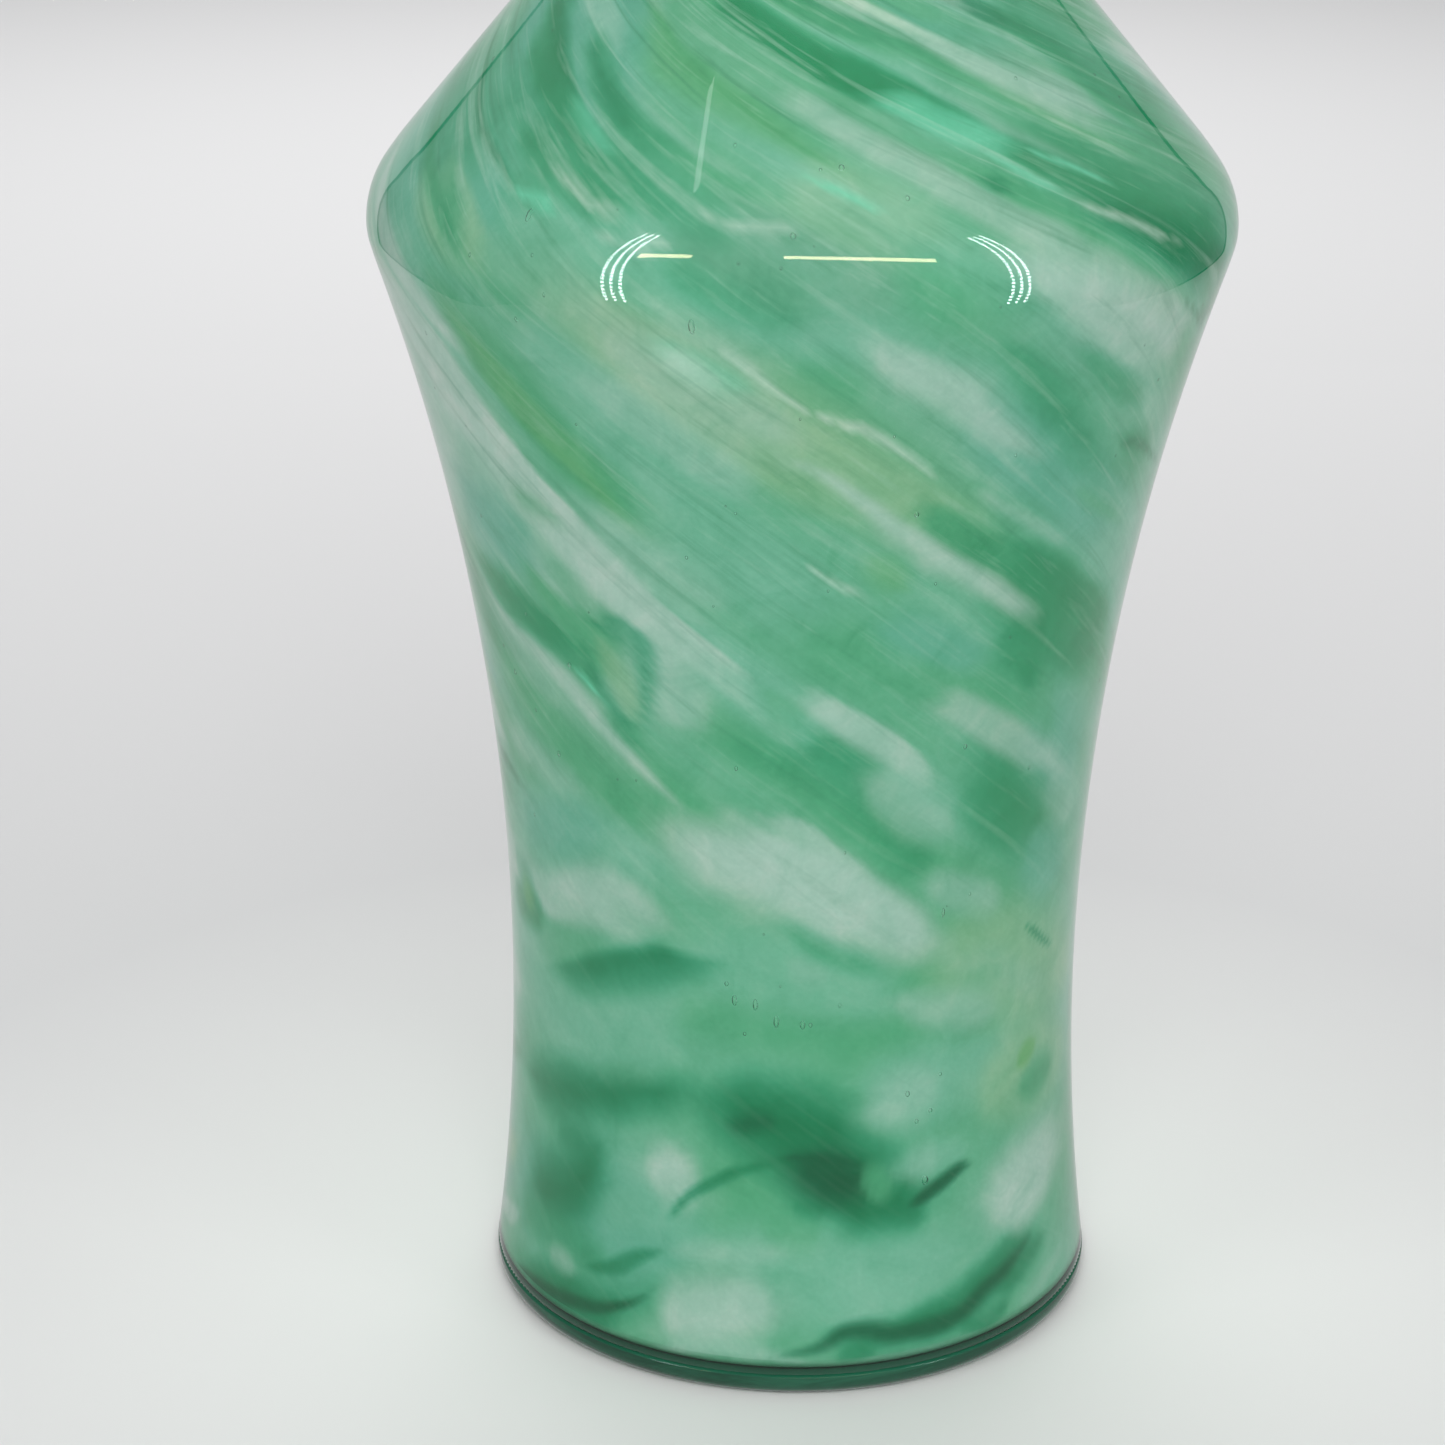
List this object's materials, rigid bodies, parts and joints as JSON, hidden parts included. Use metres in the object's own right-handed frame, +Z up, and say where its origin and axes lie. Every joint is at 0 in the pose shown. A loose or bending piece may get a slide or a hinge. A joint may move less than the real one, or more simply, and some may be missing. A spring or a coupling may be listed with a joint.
{
  "type": "blown glass vase",
  "caption": "Shouldered bottle-form art glass vase of cased glass, with green and milky bands swirled under a clear casing and a thick clear green foot.",
  "frame": {"origin": "centre of the foot, on the surface that the vase stands on", "axes": "+Z up along the vase's axis, from the foot to the mouth; -Y is the front"},
  "size_m": [0.1468, 0.1468, 0.3048],
  "materials": {
    "foot_glass": "clear dark green glass, fire polished, with a ground pontil mark underneath",
    "casing_glass": "clear pale green glass with a fire-polished gloss and seed bubbles",
    "green_glass": "translucent green glass with soft, drawn-out edges",
    "milky_glass": "translucent milky green glass, cloudy and streaked",
    "trail_glass": "thin trails of dark green glass",
    "opal_glass": "white opal glass, smooth on the inside of the vase"
  },
  "bodies": {
    "root": {"foot_gather": "foot_glass", "clear_casing": "casing_glass", "green_bands": "green_glass", "milky_bands": "milky_glass", "dark_trails": "trail_glass", "opal_lining": "opal_glass"}
  },
  "joints": []
}
